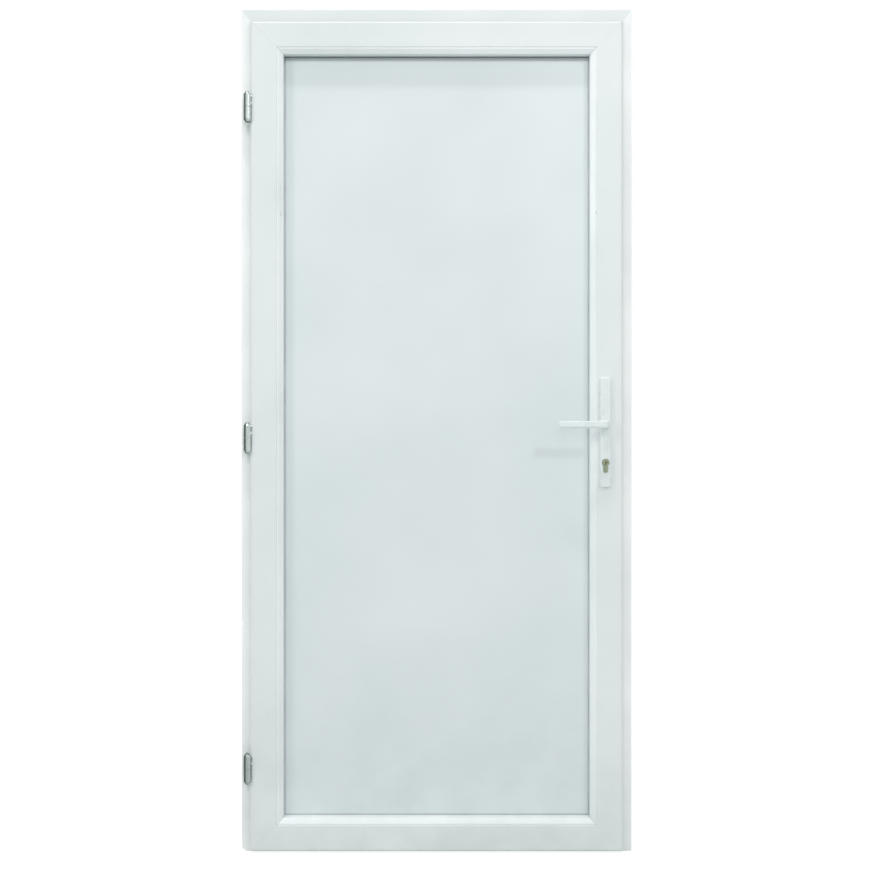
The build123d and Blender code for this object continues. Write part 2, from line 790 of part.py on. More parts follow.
# Lock cylinder, proud of both plates, with its plug set a little back
cylinder_start = leaf_room_y - plate_thickness - cylinder_proud
cylinder_end = leaf_weather_y + plate_thickness + cylinder_proud
with BuildPart() as lock_cylinder:
    with BuildSketch(handle_plane(1, cylinder_start, cylinder_height)):
        euro_profile(0)
        Circle(plug_radius, mode=Mode.SUBTRACT)
    extrude(amount=cylinder_end - cylinder_start)
write(lock_cylinder, "lock_cylinder")

with BuildPart() as cylinder_plug:
    with BuildSketch(handle_plane(1, cylinder_start + plug_recess, cylinder_height)):
        Circle(plug_radius)
        Rectangle(keyway_width, keyway_height, mode=Mode.SUBTRACT)
    extrude(amount=cylinder_end - cylinder_start - 2 * plug_recess)
write(cylinder_plug, "cylinder_plug")

# Rain deflector on the weather face of the bottom rail
deflector_half = lip_half - deflector_end_gap
with BuildPart() as rain_deflector:
    with BuildSketch(Plane(origin=(-deflector_half, leaf_weather_y, deflector_bottom),
                           x_dir=(0, 1, 0), z_dir=(1, 0, 0))) as profile:
        outline(
            (0, 0),
            (deflector_wall, 0),
            (deflector_wall, deflector_root),
            (deflector_reach - deflector_wall, deflector_wall),
            (deflector_reach - deflector_wall, -deflector_drip),
            (deflector_reach, -deflector_drip),
            (deflector_reach, 2 * deflector_wall),
            (deflector_wall, deflector_root + 2 * deflector_wall),
            (deflector_wall, deflector_height),
            (0, deflector_height),
        )
        fillet(corners(profile, (deflector_reach, 2 * deflector_wall)), deflector_nose_radius)
    extrude(amount=2 * deflector_half)
write(rain_deflector, "rain_deflector")
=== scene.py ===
import math

import bmesh
import bpy
from mathutils import Matrix, Vector


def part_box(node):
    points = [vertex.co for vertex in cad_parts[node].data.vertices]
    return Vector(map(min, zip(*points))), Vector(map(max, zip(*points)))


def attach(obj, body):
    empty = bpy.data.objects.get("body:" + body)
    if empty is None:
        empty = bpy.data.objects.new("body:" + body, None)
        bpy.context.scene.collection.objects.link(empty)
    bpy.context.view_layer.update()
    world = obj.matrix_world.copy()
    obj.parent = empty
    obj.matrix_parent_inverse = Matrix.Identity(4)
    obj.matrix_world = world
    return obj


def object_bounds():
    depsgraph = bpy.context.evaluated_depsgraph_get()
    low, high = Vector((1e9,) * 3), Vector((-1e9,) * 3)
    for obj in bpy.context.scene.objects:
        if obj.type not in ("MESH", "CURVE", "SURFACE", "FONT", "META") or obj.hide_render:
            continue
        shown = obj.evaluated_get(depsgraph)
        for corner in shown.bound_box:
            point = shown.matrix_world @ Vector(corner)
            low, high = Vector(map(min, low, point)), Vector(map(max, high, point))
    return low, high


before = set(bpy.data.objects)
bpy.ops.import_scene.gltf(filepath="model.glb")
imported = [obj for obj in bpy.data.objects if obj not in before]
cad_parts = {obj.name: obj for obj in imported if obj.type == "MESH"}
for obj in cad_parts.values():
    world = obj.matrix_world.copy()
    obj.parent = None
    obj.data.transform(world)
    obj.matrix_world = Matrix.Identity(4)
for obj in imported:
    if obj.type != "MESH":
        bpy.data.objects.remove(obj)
cadLow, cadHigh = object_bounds()  # the CAD box, before anything is added
mm = 0.001
bpy.context.scene.view_settings.view_transform = "Standard"
print("frame loaded:", len(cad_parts), "nodes")


# camera: square on to the room side, as the photo shows the door
cameraValues = {
    "distance": 2.5,          # from the frame's room face
    "height": 1.10,
    "widthSeen": 2.120,       # metres across the picture at the frame's room face
    "middleSeen": 1.0132,     # height at the middle of the picture
    "frameMiddle": 436.7,     # pixel across, of the frame's middle
    "pictureWidth": 870,
    "sensor": 36.0,
}


def makeCamera(values):
    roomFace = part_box("hinge_jamb")[0].y
    data = bpy.data.cameras.new("photoCamera")
    data.sensor_width = values["sensor"]
    data.lens = values["sensor"] * values["distance"] / values["widthSeen"]
    half = values["pictureWidth"] / 2
    data.shift_x = (half - values["frameMiddle"]) / values["pictureWidth"]
    data.shift_y = (values["middleSeen"] - values["height"]) / values["widthSeen"]
    camera = bpy.data.objects.new("photoCamera", data)
    camera.location = (0.0, roomFace - values["distance"], values["height"])
    camera.rotation_euler = (math.radians(90), 0.0, 0.0)
    bpy.context.scene.collection.objects.link(camera)
    bpy.context.scene.camera = camera


makeCamera(cameraValues)
print("camera placed")


# materials
def linear(hexColour):
    # sRGB hex value to the linear colour that the shaders take
    parts = [int(hexColour[i:i + 2], 16) / 255 for i in (1, 3, 5)]
    straight = [p / 12.92 if p <= 0.04045 else ((p + 0.055) / 1.055) ** 2.4 for p in parts]
    return (*straight, 1.0)


def perMetre(millimetres):
    # pattern scale from the real size of its features
    return 1.0 / (millimetres * mm)


def addNode(tree, kind, inputs=None, out=0, **settings):
    # an input takes a value, or another node's output, which is linked to it
    node = tree.nodes.new(kind)
    for name, value in settings.items():
        setattr(node, name, value)
    for name, value in (inputs or {}).items():
        if isinstance(value, bpy.types.NodeSocket):
            tree.links.new(value, node.inputs[name])
        else:
            node.inputs[name].default_value = value
    return node if out is None else node.outputs[out]


def startMaterial(name):
    material = bpy.data.materials.new(name)
    material.use_nodes = True
    material.node_tree.nodes.clear()
    return material, material.node_tree, addNode(material.node_tree, "ShaderNodeTexCoord", out="Object")


def endMaterial(tree, inputs):
    surface = addNode(tree, "ShaderNodeBsdfPrincipled", inputs)
    addNode(tree, "ShaderNodeOutputMaterial", {"Surface": surface}, out=None)


def lengthwise(across, along, axis):
    # scale of a pattern that runs along one axis
    return [perMetre(along if name == axis else across) for name in "XYZ"]


upvcValues = {
    # the jambs' colour is painted lighter than the head's, a lit copy of the same profile, against the shade
    # beside the leaf
    "frame": "#F8FAF9",
    "head": "#E6EAEA",
    "leaf": "#E4E9E9",
    "bead": "#EDF2F2",
    "dulled": "#D6DFDD",       # where the surface has weathered
    # towards the floor: partly dirt, partly painted shade for the dimmer light low down
    "grimeAndShade": "#AEB8B2",
    "scuff": "#8F9995",
    "seam": "#8E9896",         # dirt in the groove of a welded corner
    "dust": "#BDC3C3",         # painted shade that tones down the light on the leaf's top edge
    "hingeShadow": "#A9BDB4",       # painted shadow in a greenish grey that the hinges cast down the jamb
    "cloud": 260.0,            # mm, patches of slightly different tone
    "grimeAndShadeTop": 0.45,          # metres above the floor where the darkening at the foot, dirt and painted shade, fades out
    "grimeAndShadePatch": 90.0,        # mm, as are the sizes below it
    "scuffSize": 16.0,
    "scuffStretch": 3,         # times longer along the profile
    "seamWidth": 0.7,
    "seamCore": 0.3,           # share of that at full strength
    "leafSeamShare": 0.22,     # how strongly the dirt shows in the leaf's corners
    "beadSeamShare": 0.9,
    "frameSeamShare": 0.3,
    "hingeShadowLength": 30.0,
    "hingeShadowWidth": 9.0,
    "hingeShadowCore": 2.0,
    "hingeShadowDepth": 2.0,        # behind the jamb's room face, which alone has the painted shadows
    "topShadeDepth": 2.2,            # below the leaf's top, where the painted shade is at its strongest
    "topShadeFade": 1.0,
    "dieLine": 1.6,            # drawn coarser than the real 0.3 mm so that it shows
    "dieLineLength": 900.0,
    "dieLineDepth": 0.03,
    "grain": 2.5,
    "grainDepth": 0.02,
    "wearPatch": 35.0,         # where the sheen differs
    "ior": 1.53,
}


def weatheredUpvc(tree, place, height, colour, axis, values):
    # faint clouding, darkening towards the floor that is partly dirt and partly painted shade, then a few
    # rubbed marks along the profile
    cloud = addNode(tree, "ShaderNodeTexNoise", {
        "Vector": place, "Scale": perMetre(values["cloud"]), "Detail": 3.0,
    })
    share = addNode(tree, "ShaderNodeMapRange", {
        "Value": cloud, "From Min": 0.35, "From Max": 0.75, "To Max": 0.6,
    })
    tone = addNode(tree, "ShaderNodeMix", {
        0: share, 6: linear(colour), 7: linear(values["dulled"]),
    }, out=2, data_type="RGBA")

    # darker and greener towards the floor: dirt at the foot and painted shade for the dimmer light down
    # there
    low = addNode(tree, "ShaderNodeMapRange", {
        "Value": height, "From Min": values["grimeAndShadeTop"], "From Max": 0.0, "To Max": 0.42,
    })
    patches = addNode(tree, "ShaderNodeTexNoise", {
        "Vector": place, "Scale": perMetre(values["grimeAndShadePatch"]), "Detail": 3.0, "Roughness": 0.5,
    })
    patchy = addNode(tree, "ShaderNodeMapRange", {
        "Value": patches, "From Min": 0.35, "From Max": 0.7, "To Min": 0.1, "To Max": 0.6,
    })
    share = addNode(tree, "ShaderNodeMath", {0: low, 1: patchy}, operation="MULTIPLY")
    tone = addNode(tree, "ShaderNodeMix", {
        0: share, 6: tone, 7: linear(values["grimeAndShade"]),
    }, out=2, data_type="RGBA")

    stretched = lengthwise(values["scuffSize"], values["scuffSize"] * values["scuffStretch"], axis)
    drawn = addNode(tree, "ShaderNodeMapping", {"Vector": place, "Scale": stretched})
    marks = addNode(tree, "ShaderNodeTexNoise", {
        "Vector": drawn, "Scale": 1.0, "Detail": 6.0, "Roughness": 0.62, "Distortion": 0.6,
    })
    share = addNode(tree, "ShaderNodeMapRange", {
        "Value": marks, "From Min": 0.715, "From Max": 0.76, "To Max": 0.35,
    })
    return addNode(tree, "ShaderNodeMix", {
        0: share, 6: tone, 7: linear(values["scuff"]),
    }, out=2, data_type="RGBA")


def weldSeams(tree, tone, axes, seams, values):
    # dirt in the mitred corners' grooves: each line is across * |x| + up * z = level,
    # which is the same at the left and at the right
    sideways = addNode(tree, "ShaderNodeMath", {0: axes["X"]}, operation="ABSOLUTE")
    for across, up, level, strength in seams:
        first = addNode(tree, "ShaderNodeMath", {0: sideways, 1: across}, operation="MULTIPLY")
        second = addNode(tree, "ShaderNodeMath", {0: axes["Z"], 1: up, 2: first}, operation="MULTIPLY_ADD")
        away = addNode(tree, "ShaderNodeMath", {0: second, 1: level}, operation="SUBTRACT")
        away = addNode(tree, "ShaderNodeMath", {0: away}, operation="ABSOLUTE")
        share = addNode(tree, "ShaderNodeMapRange", {
            "Value": away,
            "From Min": values["seamWidth"] * mm * values["seamCore"],
            "From Max": values["seamWidth"] * mm,
            "To Min": strength,
            "To Max": 0.0,
        })
        tone = addNode(tree, "ShaderNodeMix", {
            0: share, 6: tone, 7: linear(values["seam"]),
        }, out=2, data_type="RGBA")
    return tone


def paintedHingeShadows(tree, tone, axes, hingeShadow, values):
    # painted shadows below each barrel, where the barrels shade the jamb. Its places: foot of the lowest
    # barrel, spacing of the three, their middle across, and the jamb's room face
    foot, spacing, middle, face = hingeShadow
    below = addNode(tree, "ShaderNodeMath", {0: foot, 1: axes["Z"]}, operation="SUBTRACT")
    below = addNode(tree, "ShaderNodeMath", {0: below, 1: spacing}, operation="FLOORED_MODULO")
    fading = addNode(tree, "ShaderNodeMapRange", {
        "Value": below, "From Max": values["hingeShadowLength"] * mm, "To Min": 0.75, "To Max": 0.0,
    })
    beside = addNode(tree, "ShaderNodeMath", {0: axes["X"], 1: middle}, operation="SUBTRACT")
    beside = addNode(tree, "ShaderNodeMath", {0: beside}, operation="ABSOLUTE")
    narrow = addNode(tree, "ShaderNodeMapRange", {
        "Value": beside,
        "From Min": values["hingeShadowCore"] * mm,
        "From Max": values["hingeShadowWidth"] * mm,
        "To Min": 1.0,
        "To Max": 0.0,
    })
    room = addNode(tree, "ShaderNodeMath", {
        0: axes["Y"], 1: face + values["hingeShadowDepth"] * mm,
    }, operation="LESS_THAN")
    share = addNode(tree, "ShaderNodeMath", {0: fading, 1: narrow}, operation="MULTIPLY")
    share = addNode(tree, "ShaderNodeMath", {0: share, 1: room}, operation="MULTIPLY")
    return addNode(tree, "ShaderNodeMix", {
        0: share, 6: tone, 7: linear(values["hingeShadow"]),
    }, out=2, data_type="RGBA")


def paintedTopEdgeShade(tree, tone, height, topShadeFrom, values):
    # painted shade, darker than the leaf, on all that lies above the given height: it tones down the light
    # on the leaf's top edge
    share = addNode(tree, "ShaderNodeMapRange", {
        "Value": height, "From Min": topShadeFrom - values["topShadeFade"] * mm, "From Max": topShadeFrom, "To Max": 0.9,
    })
    return addNode(tree, "ShaderNodeMix", {
        0: share, 6: tone, 7: linear(values["dust"]),
    }, out=2, data_type="RGBA")


def rubbedNick(tree, tone, place, spot, reach, values):
    # a scuffed spot, with its reach in mm along each axis
    apart = addNode(tree, "ShaderNodeVectorMath", {0: place, 1: spot}, operation="SUBTRACT")
    apart = addNode(tree, "ShaderNodeVectorMath", {
        0: apart, 1: [perMetre(r) for r in reach],
    }, operation="MULTIPLY")
    apart = addNode(tree, "ShaderNodeVectorMath", {0: apart}, out="Value", operation="LENGTH")
    share = addNode(tree, "ShaderNodeMapRange", {
        "Value": apart, "From Min": 0.5, "From Max": 1.0, "To Min": 0.35, "To Max": 0.0,
    })
    return addNode(tree, "ShaderNodeMix", {
        0: share, 6: tone, 7: linear(values["scuff"]),
    }, out=2, data_type="RGBA")


def extrudedUpvc(name, colour, axis, seams=(), hingeShadow=None, topShadeFrom=None, nicks=(), values=upvcValues):
    # white uPVC drawn through a die: smooth with a soft sheen and very fine lines along
    # its length, weathered and marked as a door is after some years, darker towards the floor
    # with dirt and painted shade; where asked, also painted shade on the leaf's top edge and
    # painted shadows below the hinges
    material, tree, place = startMaterial(name)
    axes = addNode(tree, "ShaderNodeSeparateXYZ", {"Vector": place}, out=None).outputs
    tone = weatheredUpvc(tree, place, axes["Z"], colour, axis, values)
    if seams:
        tone = weldSeams(tree, tone, axes, seams, values)
    if hingeShadow:
        tone = paintedHingeShadows(tree, tone, axes, hingeShadow, values)
    if topShadeFrom is not None:
        tone = paintedTopEdgeShade(tree, tone, axes["Z"], topShadeFrom, values)
    for spot, reach in nicks:
        tone = rubbedNick(tree, tone, place, spot, reach, values)

    drawn = addNode(tree, "ShaderNodeMapping", {
        "Vector": place, "Scale": lengthwise(values["dieLine"], values["dieLineLength"], axis),
    })
    lines = addNode(tree, "ShaderNodeTexNoise", {"Vector": drawn, "Scale": 1.0})
    normal = addNode(tree, "ShaderNodeBump", {
        "Height": lines, "Strength": 0.6, "Distance": values["dieLineDepth"] * mm,
    })
    grain = addNode(tree, "ShaderNodeTexNoise", {"Vector": place, "Scale": perMetre(values["grain"])})
    normal = addNode(tree, "ShaderNodeBump", {
        "Height": grain, "Strength": 0.5, "Distance": values["grainDepth"] * mm, "Normal": normal,
    })
    wear = addNode(tree, "ShaderNodeTexNoise", {
        "Vector": place, "Scale": perMetre(values["wearPatch"]), "Detail": 4.0,
    })
    rough = addNode(tree, "ShaderNodeMapRange", {
        "Value": wear, "From Min": 0.3, "From Max": 0.7, "To Min": 0.3, "To Max": 0.42,
    })
    endMaterial(tree, {"Base Color": tone, "Roughness": rough, "Normal": normal, "IOR": values["ior"]})
    return material


panelValues = {
    "skin": "#DFE7E8",
    "dulled": "#D5DEDE",
    # towards the floor: partly dirt, partly painted shade for the dimmer light low down
    "grimeAndShade": "#AEB9B5",
    "cloud": 420.0,            # mm
    "peel": 5.0,               # mm, the slight waviness of the pressed skin
    "peelDepth": 0.03,
    "wearPatch": 120.0,
    "grimeAndShadePatch": 90.0,
    "grimeAndShadeTop": 0.55,          # metres above the floor
    "grimeAndShadeFoot": 0.08,         # and here the darkening, dirt and painted shade, is at its full strength
    "panelShadeUnderBead": "#6E777A",         # painted shade: the dark line on the panel where the top bead shades it
    "panelShadeReach": 13.0,         # mm down from the bead
    "panelShadeCore": 0.6,           # share of that at full strength
    "panelShadeShare": 0.55,
    "ior": 1.53,
}


def pressedPanelSkin(shelter, values=panelValues):
    # PVC skin pressed on to an insulated core: satin and flat, with a very slight
    # orange peel that softens what it mirrors
    material, tree, place = startMaterial("pressedPanelSkin")
    cloud = addNode(tree, "ShaderNodeTexNoise", {"Vector": place, "Scale": perMetre(values["cloud"])})
    share = addNode(tree, "ShaderNodeMapRange", {"Value": cloud, "From Min": 0.3, "From Max": 0.75})
    tone = addNode(tree, "ShaderNodeMix", {
        0: share, 6: linear(values["skin"]), 7: linear(values["dulled"]),
    }, out=2, data_type="RGBA")
    height = addNode(tree, "ShaderNodeSeparateXYZ", {"Vector": place}, out="Z")
    # darker and greener towards the floor: dirt at the foot and painted shade for the dimmer light down
    # there
    low = addNode(tree, "ShaderNodeMapRange", {
        "Value": height, "From Min": values["grimeAndShadeTop"], "From Max": values["grimeAndShadeFoot"], "To Max": 0.5,
    })
    patches = addNode(tree, "ShaderNodeTexNoise", {
        "Vector": place, "Scale": perMetre(values["grimeAndShadePatch"]), "Detail": 5.0, "Roughness": 0.6,
    })
    patchy = addNode(tree, "ShaderNodeMapRange", {
        "Value": patches, "From Min": 0.35, "From Max": 0.7, "To Min": 0.1, "To Max": 0.5,
    })
    share = addNode(tree, "ShaderNodeMath", {0: low, 1: patchy}, operation="MULTIPLY")
    tone = addNode(tree, "ShaderNodeMix", {
        0: share, 6: tone, 7: linear(values["grimeAndShade"]),
    }, out=2, data_type="RGBA")
    # painted shade in a band on the panel just below the top bead
    share = addNode(tree, "ShaderNodeMapRange", {
        "Value": height,
        "From Min": shelter - values["panelShadeReach"] * mm,
        "From Max": shelter - values["panelShadeCore"] * values["panelShadeReach"] * mm,
        "To Max": values["panelShadeShare"],
    })
    tone = addNode(tree, "ShaderNodeMix", {
        0: share, 6: tone, 7: linear(values["panelShadeUnderBead"]),
    }, out=2, data_type="RGBA")
    peel = addNode(tree, "ShaderNodeTexNoise", {
        "Vector": place, "Scale": perMetre(values["peel"]), "Detail": 1.0,
    })
    normal = addNode(tree, "ShaderNodeBump", {
        "Height": peel, "Strength": 0.5, "Distance": values["peelDepth"] * mm,
    })
    wear = addNode(tree, "ShaderNodeTexNoise", {
        "Vector": place, "Scale": perMetre(values["wearPatch"]), "Detail": 3.0,
    })
    rough = addNode(tree, "ShaderNodeMapRange", {
        "Value": wear, "From Min": 0.3, "From Max": 0.7, "To Min": 0.36, "To Max": 0.46,
    })
    endMaterial(tree, {"Base Color": tone, "Roughness": rough, "Normal": normal, "IOR": values["ior"]})
    return material


rubberValues = {
    "rubber": "#AEB5B8",
    "dust": "#BCC3C4",
    "sealShadeUnderBead": "#6C7276",    # painted shade on the seal under the top bead
    "sealShadeReach": 20.0,    # mm down from the bead
    "dustSize": 55.0,
    "grain": 0.9,
    "grainDepth": 0.05,
    "rough": 0.75,
    "ior": 1.5,
}


def extrudedRubber(shelter, values=rubberValues):
    # extruded rubber in the light grey that goes with white profiles: dull and dusty
    material, tree, place = startMaterial("extrudedRubber")
    dust = addNode(tree, "ShaderNodeTexNoise", {
        "Vector": place, "Scale": perMetre(values["dustSize"]), "Detail": 3.0,
    })
    share = addNode(tree, "ShaderNodeMapRange", {"Value": dust, "From Min": 0.35, "From Max": 0.7})
    tone = addNode(tree, "ShaderNodeMix", {
        0: share, 6: linear(values["rubber"]), 7: linear(values["dust"]),
    }, out=2, data_type="RGBA")
    height = addNode(tree, "ShaderNodeSeparateXYZ", {"Vector": place}, out="Z")
    # the seal is painted darker just below the top bead, as the shade that bead casts
    share = addNode(tree, "ShaderNodeMapRange", {
        "Value": height, "From Min": shelter - values["sealShadeReach"] * mm, "From Max": shelter,
    })
    tone = addNode(tree, "ShaderNodeMix", {
        0: share, 6: tone, 7: linear(values["sealShadeUnderBead"]),
    }, out=2, data_type="RGBA")
    grain = addNode(tree, "ShaderNodeTexNoise", {"Vector": place, "Scale": perMetre(values["grain"])})
    normal = addNode(tree, "ShaderNodeBump", {
        "Height": grain, "Strength": 0.5, "Distance": values["grainDepth"] * mm,
    })
    endMaterial(tree, {
        "Base Color": tone, "Normal": normal, "Roughness": values["rough"], "IOR": values["ior"],
    })
    return material


aluminiumValues = {
    "metal": "#BDC0C2",
    "dull": "#B0B4B6",
    "line": 0.9,               # mm, drawn coarser than the real 0.3 mm so that it shows
    "lineLength": 600.0,
    "lineDepth": 0.03,
    "wornPatch": 45.0,
}


def anodisedAluminium(values=aluminiumValues):
    # extruded aluminium, silver anodised: satin metal with fine lines along its length,
    # dulled where feet have rubbed it
    material, tree, place = startMaterial("anodisedAluminium")
    patches = addNode(tree, "ShaderNodeTexNoise", {
        "Vector": place, "Scale": perMetre(values["wornPatch"]), "Detail": 5.0, "Roughness": 0.6,
    })
    worn = addNode(tree, "ShaderNodeMapRange", {"Value": patches, "From Min": 0.4, "From Max": 0.65})
    tone = addNode(tree, "ShaderNodeMix", {
        0: worn, 6: linear(values["metal"]), 7: linear(values["dull"]),
    }, out=2, data_type="RGBA")
    rough = addNode(tree, "ShaderNodeMapRange", {"Value": worn, "To Min": 0.40, "To Max": 0.48})
    drawn = addNode(tree, "ShaderNodeMapping", {
        "Vector": place, "Scale": lengthwise(values["line"], values["lineLength"], "X"),
    })
    lines = addNode(tree, "ShaderNodeTexNoise", {"Vector": drawn, "Scale": 1.0, "Detail": 3.0})
    normal = addNode(tree, "ShaderNodeBump", {
        "Height": lines, "Strength": 0.6, "Distance": values["lineDepth"] * mm,
    })
    endMaterial(tree, {"Base Color": tone, "Roughness": rough, "Normal": normal, "Metallic": 1.0})
    return material


zincValues = {
    "zinc": "#B4B9BC",
    "yellowed": "#B6B09C",
    "spangle": 7.0,            # mm
    "bloomShare": 0.7,
    "rolled": 0.6,             # drawn coarser than the real lines so that they show
    "rolledLength": 60.0,
    "rolledDepth": 0.02,
}


def zincPlatedSteel(values=zincValues):
    # pressed steel with bright zinc plating: cool grey with a faint yellow bloom
    material, tree, place = startMaterial("zincPlatedSteel")
    patches = addNode(tree, "ShaderNodeTexNoise", {
        "Vector": place, "Scale": perMetre(values["spangle"]), "Detail": 4.0, "Roughness": 0.6,
    })
    bloom = addNode(tree, "ShaderNodeMapRange", {
        "Value": patches, "From Min": 0.45, "From Max": 0.75, "To Max": values["bloomShare"],
    })
    tone = addNode(tree, "ShaderNodeMix", {
        0: bloom, 6: linear(values["zinc"]), 7: linear(values["yellowed"]),
    }, out=2, data_type="RGBA")
    rough = addNode(tree, "ShaderNodeMapRange", {
        "Value": bloom, "From Max": values["bloomShare"], "To Min": 0.3, "To Max": 0.42,
    })
    drawn = addNode(tree, "ShaderNodeMapping", {
        "Vector": place, "Scale": lengthwise(values["rolled"], values["rolledLength"], "Z"),
    })
    lines = addNode(tree, "ShaderNodeTexNoise", {"Vector": drawn, "Scale": 1.0})
    normal = addNode(tree, "ShaderNodeBump", {
        "Height": lines, "Strength": 0.5, "Distance": values["rolledDepth"] * mm,
    })
    endMaterial(tree, {"Base Color": tone, "Roughness": rough, "Normal": normal, "Metallic": 1.0})
    return material


boltValues = {
    "steel": "#9C9FA1",
    "oiled": "#6F7173",
    "oilPatch": 12.0,          # mm
    "line": 0.5,               # drawn coarser than the real cutter lines so that they show
    "lineLength": 30.0,
    "lineDepth": 0.02,
    "rough": 0.36,
}


def machinedSteel(values=boltValues):
    # milled steel bar: fine cutter lines and darker, oily patches
    material, tree, place = startMaterial("machinedSteel")
    patches = addNode(tree, "ShaderNodeTexNoise", {
        "Vector": place, "Scale": perMetre(values["oilPatch"]), "Detail": 4.0, "Roughness": 0.6,
    })
    oil = addNode(tree, "ShaderNodeMapRange", {"Value": patches, "From Min": 0.45, "From Max": 0.7})
    tone = addNode(tree, "ShaderNodeMix", {
        0: oil, 6: linear(values["steel"]), 7: linear(values["oiled"]),
    }, out=2, data_type="RGBA")
    drawn = addNode(tree, "ShaderNodeMapping", {
        "Vector": place, "Scale": lengthwise(values["line"], values["lineLength"], "X"),
    })
    lines = addNode(tree, "ShaderNodeTexNoise", {"Vector": drawn, "Scale": 1.0})
    normal = addNode(tree, "ShaderNodeBump", {
        "Height": lines, "Strength": 0.6, "Distance": values["lineDepth"] * mm,
    })
    endMaterial(tree, {"Base Color": tone, "Normal": normal, "Metallic": 1.0, "Roughness": values["rough"]})
    return material


hingeValues = {
    "steel": "#B7C2BE",
    # for the tarnish spots and for the painted shade
    "tarnishAndShade": "#56625E",
    "spots": 5.0,              # mm
    "ring": 0.7,               # drawn coarser than the real turned rings so that they show
    "ringLength": 40.0,
    "ringDepth": 0.015,
    # painted highlight on the leaf's side of the barrel
    "paintedHighlight": "#D8E1DD",
    "shadeFrom": -1.0,          # mm across from the barrel's middle, on the jamb's side, where painted shade darkens the barrel
    "shadeTo": -2.6,
    "highlightFrom": 2.5,          # and next to the leaf, where a highlight is painted
    "highlightTo": 6.0,
    "lowTop": 0.9,             # metres above the floor, where the darkening towards the floor fades out
    "lowFoot": 0.1,            # and here it is at its full strength
    "lowShare": 0.40,
    "capShadeFrom": 33.0,           # mm along from the barrel's middle, on its rounded ends, which are painted darker as shade
    "capShadeTo": 36.5,
}


def turnedHingeSteel(middle, foot, spacing, length, values=hingeValues):
    # steel barrels turned on a lathe and plated thinly: faint rings round them and random tarnish spots;
    # painted shade on the jamb's side and the rounded ends, a painted highlight on the leaf's side,
    # and darker towards the floor
    material, tree, place = startMaterial("turnedHingeSteel")
    patches = addNode(tree, "ShaderNodeTexNoise", {
        "Vector": place, "Scale": perMetre(values["spots"]), "Detail": 5.0, "Roughness": 0.65,
    })
    spots = addNode(tree, "ShaderNodeMapRange", {
        "Value": patches, "From Min": 0.45, "From Max": 0.75, "To Max": 0.45,
    })
    axes = addNode(tree, "ShaderNodeSeparateXYZ", {"Vector": place}, out=None).outputs
    # painted shade on the jamb's side of the barrel, painted highlight on the leaf's side
    across = addNode(tree, "ShaderNodeMath", {0: axes["X"], 1: middle}, operation="SUBTRACT")
    jambSideShade = addNode(tree, "ShaderNodeMapRange", {
        "Value": across, "From Min": values["shadeFrom"] * mm, "From Max": values["shadeTo"] * mm,
    })
    leafSideHighlight = addNode(tree, "ShaderNodeMapRange", {
        "Value": across, "From Min": values["highlightFrom"] * mm, "From Max": values["highlightTo"] * mm,
    })
    low = addNode(tree, "ShaderNodeMapRange", {
        "Value": axes["Z"],
        "From Min": values["lowTop"],
        "From Max": values["lowFoot"],
        "To Max": values["lowShare"],
    })
    # how far along from the middle of the nearest of the evenly spaced barrels
    along = addNode(tree, "ShaderNodeMath", {0: axes["Z"], 1: foot + length / 2}, operation="SUBTRACT")
    along = addNode(tree, "ShaderNodeMath", {0: along, 1: spacing / 2}, operation="ADD")
    along = addNode(tree, "ShaderNodeMath", {0: along, 1: spacing}, operation="FLOORED_MODULO")
    along = addNode(tree, "ShaderNodeMath", {0: along, 1: spacing / 2}, operation="SUBTRACT")
    along = addNode(tree, "ShaderNodeMath", {0: along}, operation="ABSOLUTE")
    # painted shade on the barrels' rounded ends
    capShade = addNode(tree, "ShaderNodeMapRange", {
        "Value": along, "From Min": values["capShadeFrom"] * mm, "From Max": values["capShadeTo"] * mm, "To Max": 0.8,
    })
    paintedShadeAndLow = addNode(tree, "ShaderNodeMath", {0: jambSideShade, 1: capShade}, operation="MAXIMUM")
    paintedShadeAndLow = addNode(tree, "ShaderNodeMath", {0: paintedShadeAndLow, 1: low}, operation="MAXIMUM")
    share = addNode(tree, "ShaderNodeMath", {0: paintedShadeAndLow, 1: spots}, operation="MAXIMUM")
    # steel with the painted highlight, then tarnish spots and painted shade over it
    steel = addNode(tree, "ShaderNodeMix", {
        0: leafSideHighlight, 6: linear(values["steel"]), 7: linear(values["paintedHighlight"]),
    }, out=2, data_type="RGBA")
    tone = addNode(tree, "ShaderNodeMix", {
        0: share, 6: steel, 7: linear(values["tarnishAndShade"]),
    }, out=2, data_type="RGBA")
    rough = addNode(tree, "ShaderNodeMapRange", {"Value": share, "To Min": 0.34, "To Max": 0.5})
    drawn = addNode(tree, "ShaderNodeMapping", {
        "Vector": place, "Scale": lengthwise(values["ringLength"], values["ring"], "Z"),
    })
    rings = addNode(tree, "ShaderNodeTexNoise", {"Vector": drawn, "Scale": 1.0})
    normal = addNode(tree, "ShaderNodeBump", {
        "Height": rings, "Strength": 0.5, "Distance": values["ringDepth"] * mm,
    })
    endMaterial(tree, {"Base Color": tone, "Roughness": rough, "Normal": normal, "Metallic": 1.0})
    return material


nylonValues = {"nylon": "#C9C9BE", "aged": "#A8A99F", "patch": 6.0, "rough": 0.5, "ior": 1.53}


def mouldedNylon(values=nylonValues):
    # natural nylon washers: milky, a little yellow, dull
    material, tree, place = startMaterial("mouldedNylon")
    patches = addNode(tree, "ShaderNodeTexNoise", {
        "Vector": place, "Scale": perMetre(values["patch"]), "Detail": 3.0,
    })
    tone = addNode(tree, "ShaderNodeMix", {
        0: patches, 6: linear(values["nylon"]), 7: linear(values["aged"]),
    }, out=2, data_type="RGBA")
    endMaterial(tree, {"Base Color": tone, "Roughness": values["rough"], "IOR": values["ior"]})
    return material


